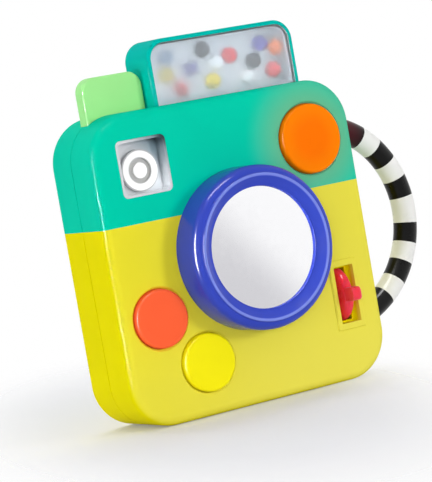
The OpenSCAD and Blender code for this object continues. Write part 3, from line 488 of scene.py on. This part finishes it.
def lathe(section, x, z):
    """Vertices and faces of a closed section of radius and height, turned about an axis out of the front."""
    verts, faces, rows = [], [], []
    for r, h in section:
        if r == 0:
            row = [len(verts)] * LATHE_STEPS
            verts.append((x, FRONT_Y - h, z))
        else:
            row = list(range(len(verts), len(verts) + LATHE_STEPS))
            for k in range(LATHE_STEPS):
                a = 2 * math.pi * k / LATHE_STEPS
                verts.append((x + r * math.cos(a), FRONT_Y - h, z + r * math.sin(a)))
        rows.append(row)
    for i in range(len(rows)):
        a, b = rows[i], rows[(i + 1) % len(rows)]
        for k in range(LATHE_STEPS):
            after = (k + 1) % LATHE_STEPS
            face = tuple(dict.fromkeys((a[k], a[after], b[after], b[k])))
            if len(face) > 2:
                faces.append(face)
    return verts, faces


def lens_ring():
    """The blue ring: straight wall, round shoulder, narrow crest and a dished inside."""
    inner, outer, mirror_edge, seat = 29.6, 35.1, 26.2, 12.2
    # The back is open round the screws that hold the ring
    open_to, open_high = 32.2, 4.6
    back = [(inner, open_high), (open_to, open_high), (open_to, 0.0), (outer, 0.0)]
    foot = arc(outer, 0.3, 0.3, -90, 0, 4)
    shoulder = arc(31.7, 12.3, 3.7, 0, 72, 18)
    groove = [(32.45, 15.9), (32.15, 16.02)]
    crest = arc(31.2, 16.2, 0.8, 8, 132, 12)
    dish = [(28.8, 15.3), (27.4, 14.35)]
    lip = arc(26.55, 13.75, 0.35, 60, 180, 6)
    inside = [(mirror_edge, seat), (inner, seat)]
    verts, faces = lathe(back + foot + shoulder + groove + crest + dish + lip + inside, *LENS)
    add_mesh("lens_ring_skin", verts, faces, BLUE, "body", "lens_ring")


def lens_mirror():
    """The mirror, very slightly crowned."""
    radius, back, edge, crown, steps = 26.15, 12.15, 13.0, 0.5, 12
    section = [(0.0, back), (radius, back), (radius, edge)]
    section += [(radius * k / steps, edge + crown * (1 - (k / steps) ** 2)) for k in range(steps - 1, -1, -1)]
    verts, faces = lathe(section, *LENS)
    add_mesh("mirror_face", verts, faces, MIRROR, "body", "mirror")


def round_box(x, z, half_w, half_h, r, steps=6):
    """Points of a rectangle with round corners on the front, counter-clockwise."""
    corners = ((1, 1, 0), (-1, 1, 90), (-1, -1, 180), (1, -1, 270))
    return [
        point
        for sx, sz, turn in corners
        for point in arc(x + sx * (half_w - r), z + sz * (half_h - r), r, turn, turn + 90, steps)
    ]


def wheel_collar():
    """The collar inside the wheel opening, with a slot that the wheel runs in."""
    outer = round_box(*WHEEL, 5.06, 12.62, 0.4)
    lip = round_box(*WHEEL, 3.3, 12.0, 0.9)
    slot = round_box(*WHEEL, 2.95, 11.65, 0.6)
    face_deep, bevel_deep, back_deep = 2.7, 3.05, 3.6
    loops = [
        (outer, back_deep), (outer, face_deep), (lip, face_deep), (slot, bevel_deep), (slot, back_deep),
    ]
    verts = [(x, FRONT_Y + deep, z) for loop, deep in loops for x, z in loop]
    count = len(outer)
    faces = []
    for i in range(len(loops)):
        a, b = i * count, (i + 1) % len(loops) * count
        faces += [(a + k, a + (k + 1) % count, b + (k + 1) % count, b + k) for k in range(count)]
    add_mesh("wheel_collar", verts, faces, YELLOW, "body", None)


# Springs: room inside the sleeve, points in a turn and round the wire, and how much flatter the end turns lie
SPRING_SLACK = 0.05
SPRING_STEPS = 28
SPRING_SIDES = 10
SPRING_FLAT = 0.35
BUTTON_WIRE, BUTTON_TURNS = 0.9, 6
TAB_WIRE, TAB_TURNS = 0.7, 9
ALONG_Y, ALONG_Z = 1, 2


def coil_spring(node, wire, turns, axis, fixed_low):
    """A wound spring in place of its plain sleeve."""
    low, high = (Vector(v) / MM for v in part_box(node))
    a, b = (i for i in range(3) if i != axis)
    middle = (low + high) / 2
    length = high[axis] - low[axis]
    mean_r = (high[a] - low[a]) / 2 - wire / 2 - SPRING_SLACK
    count = turns * SPRING_STEPS + 1
    verts, faces = [], []
    for i in range(count):
        share = i / (count - 1)
        turn = 2 * math.pi * turns * share
        # The end turns lie nearly flat, and the turns between them are open
        rise = share - SPRING_FLAT * math.sin(2 * math.pi * share) / (2 * math.pi)
        along = low[axis] + wire / 2 + rise * (length - wire)
        for k in range(SPRING_SIDES):
            side = 2 * math.pi * k / SPRING_SIDES
            r = mean_r + wire / 2 * math.cos(side)
            point = [0.0, 0.0, 0.0]
            point[a] = middle[a] + r * math.cos(turn)
            point[b] = middle[b] + r * math.sin(turn)
            point[axis] = along + wire / 2 * math.sin(side)
            verts.append(tuple(point))
    for i in range(count - 1):
        at = i * SPRING_SIDES
        for k in range(SPRING_SIDES):
            near, far = at + k, at + (k + 1) % SPRING_SIDES
            faces.append((near, far, far + SPRING_SIDES, near + SPRING_SIDES))
    faces.append(tuple(range(SPRING_SIDES)))
    faces.append(tuple(range((count - 1) * SPRING_SIDES, count * SPRING_SIDES)))
    spring = add_mesh(node + "_coil", verts, faces, STEEL, "body", node)
    anchor = middle.copy()
    anchor[axis] = low[axis] if fixed_low else high[axis]
    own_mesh(spring)


lens_ring()
lens_mirror()
wheel_collar()
for colour in ("coral", "yellow", "orange"):
    coil_spring(colour + "_spring", BUTTON_WIRE, BUTTON_TURNS, ALONG_Y, False)
coil_spring("tab_spring", TAB_WIRE, TAB_TURNS, ALONG_Z, True)


# Floor, world and lights, in metres

FILL = 0.55
WHITE = (1, 1, 1, 1)
# Grey that mirrors see low in front, the direction across which it goes to white, and where along it
HORIZON_GREY = (0.67, 0.665, 0.685, 1)
HORIZON_TILT = (0.6, 0.36, 0.7)
HORIZON_SPAN = (-0.085, -0.01)
# Where the world turns white towards the back
BEHIND_SPAN = (-0.3, 0.1)
FLOOR_RADIUS = 1.2
FLOOR_SIDES = 96
FLOOR_BELOW = 0.0001
FLOOR_SCALE, FLOOR_DETAIL = 6.0, 2.0
FLOOR_TONES = ((0.71, 0.71, 0.735, 1), (0.725, 0.725, 0.75, 1))
# How much whiter the floor looks than it is lit
FLOOR_LIFT = 0.155
# Middle, turn in degrees and stretch of the long patch of floor that takes the shade, and where it fades out
SHADE_MIDDLE = (-0.023, 0.005, 0.0)
SHADE_TURN = -17
SHADE_STRETCH = (1.0, 2.86, 1.0)
SHADE_SPAN = (0.048, 0.115)
LAMP_TARGET = (0, 0, 0.07)


def white_backdrop():
    """A world that is white behind the object, an even fill on it, and grey to what mirrors low in front."""
    world = bpy.data.worlds.new("studio")
    bpy.context.scene.world = world
    world.use_nodes = True
    n = Nodes(world.node_tree)
    out = n.add("ShaderNodeOutputWorld")
    path = n.add("ShaderNodeLightPath")
    way = n.add("ShaderNodeTexCoord").outputs["Generated"]
    tilt = n.add("ShaderNodeVectorMath", operation="DOT_PRODUCT")
    n.link(way, tilt.inputs[0])
    tilt.inputs[1].default_value = HORIZON_TILT
    above = n.span(tilt.outputs["Value"], *HORIZON_SPAN)
    behind = n.span(n.split(way)[1], *BEHIND_SPAN)
    pale = n.math("MAXIMUM", n.math("MAXIMUM", above, behind), path.outputs["Is Camera Ray"])
    fill = n.add("ShaderNodeBackground")
    fill.inputs[0].default_value = WHITE
    fill.inputs[1].default_value = FILL
    white = n.add("ShaderNodeBackground")
    n.link(n.mix(pale, HORIZON_GREY, WHITE), white.inputs[0])
    white.inputs[1].default_value = 1.0
    n.link(n.mix_shaders(n.seen(path), fill.outputs[0], white.outputs[0]), out.inputs[0])


def pale_floor():
    """A round floor that keeps the shadow near the object and fades into the white round it."""
    mesh = bpy.data.meshes.new("floor")
    bm = bmesh.new()
    bmesh.ops.create_circle(bm, cap_ends=True, segments=FLOOR_SIDES, radius=FLOOR_RADIUS)
    bm.to_mesh(mesh)
    bm.free()
    floor = bpy.data.objects.new("floor", mesh)
    bpy.context.scene.collection.objects.link(floor)
    floor.location = (0, 0, -FLOOR_BELOW)
    mat, n, surface, where = new_material("floor_paper")
    patch = n.add("ShaderNodeMapping", vector_type="TEXTURE")
    n.link(where, patch.inputs["Vector"])
    patch.inputs["Location"].default_value = SHADE_MIDDLE
    patch.inputs["Rotation"].default_value = (0, 0, math.radians(SHADE_TURN))
    patch.inputs["Scale"].default_value = SHADE_STRETCH
    far = n.add("ShaderNodeVectorMath", operation="LENGTH")
    n.link(patch.outputs[0], far.inputs[0])
    diffuse = n.add("ShaderNodeBsdfDiffuse")
    cloudy = n.span(n.noise(FLOOR_SCALE, FLOOR_DETAIL, where), *NOISE_SPAN)
    n.link(n.mix(cloudy, *FLOOR_TONES), diffuse.inputs[0])
    lift = n.add("ShaderNodeEmission")
    n.link(n.math("MULTIPLY", n.seen(n.add("ShaderNodeLightPath")), FLOOR_LIFT), lift.inputs[1])
    both = n.add("ShaderNodeAddShader")
    n.link(diffuse.outputs[0], both.inputs[0])
    n.link(lift.outputs[0], both.inputs[1])
    clear = n.add("ShaderNodeBsdfTransparent")
    fade = n.span(far.outputs["Value"], *SHADE_SPAN)
    n.link(n.mix_shaders(fade, both.outputs[0], clear.outputs[0]), surface)
    mesh.materials.append(mat)


def softbox(name, azimuth, elevation, distance, size, power, glints=True, lights=True):
    """An area lamp, angles in degrees and power in watts.

    One without glints isn't mirrored, and one that only glints lights nothing.
    """
    data = bpy.data.lights.new(name, "AREA")
    data.shape = "RECTANGLE"
    data.size, data.size_y = size
    data.energy = power
    lamp = bpy.data.objects.new(name, data)
    bpy.context.scene.collection.objects.link(lamp)
    way = direction(math.radians(azimuth), math.radians(elevation))
    lamp.location = Vector(LAMP_TARGET) + way * distance
    lamp.rotation_mode = "QUATERNION"
    lamp.rotation_quaternion = way.to_track_quat("Z", "Y")
    lamp.visible_glossy = glints
    lamp.visible_diffuse = lights
    lamp.visible_transmission = lights


white_backdrop()
pale_floor()
softbox("key", 28, 8, 1.2, (0.26, 0.26), 4.4, glints=False)
softbox("left_front", -33, 5, 1.2, (0.4, 0.3), 3.2, glints=False)
softbox("left_side", -84, 2, 1.0, (0.5, 0.15), 2.7, glints=False)
softbox("back_top", 175, 54, 1.2, (1.2, 1.2), 7.5, glints=False)
softbox("left_glint", -77, 6, 1.0, (0.18, 0.7), 85.0, lights=False)
softbox("top_glint", -20, 66, 1.0, (0.6, 0.2), 14.0, lights=False)
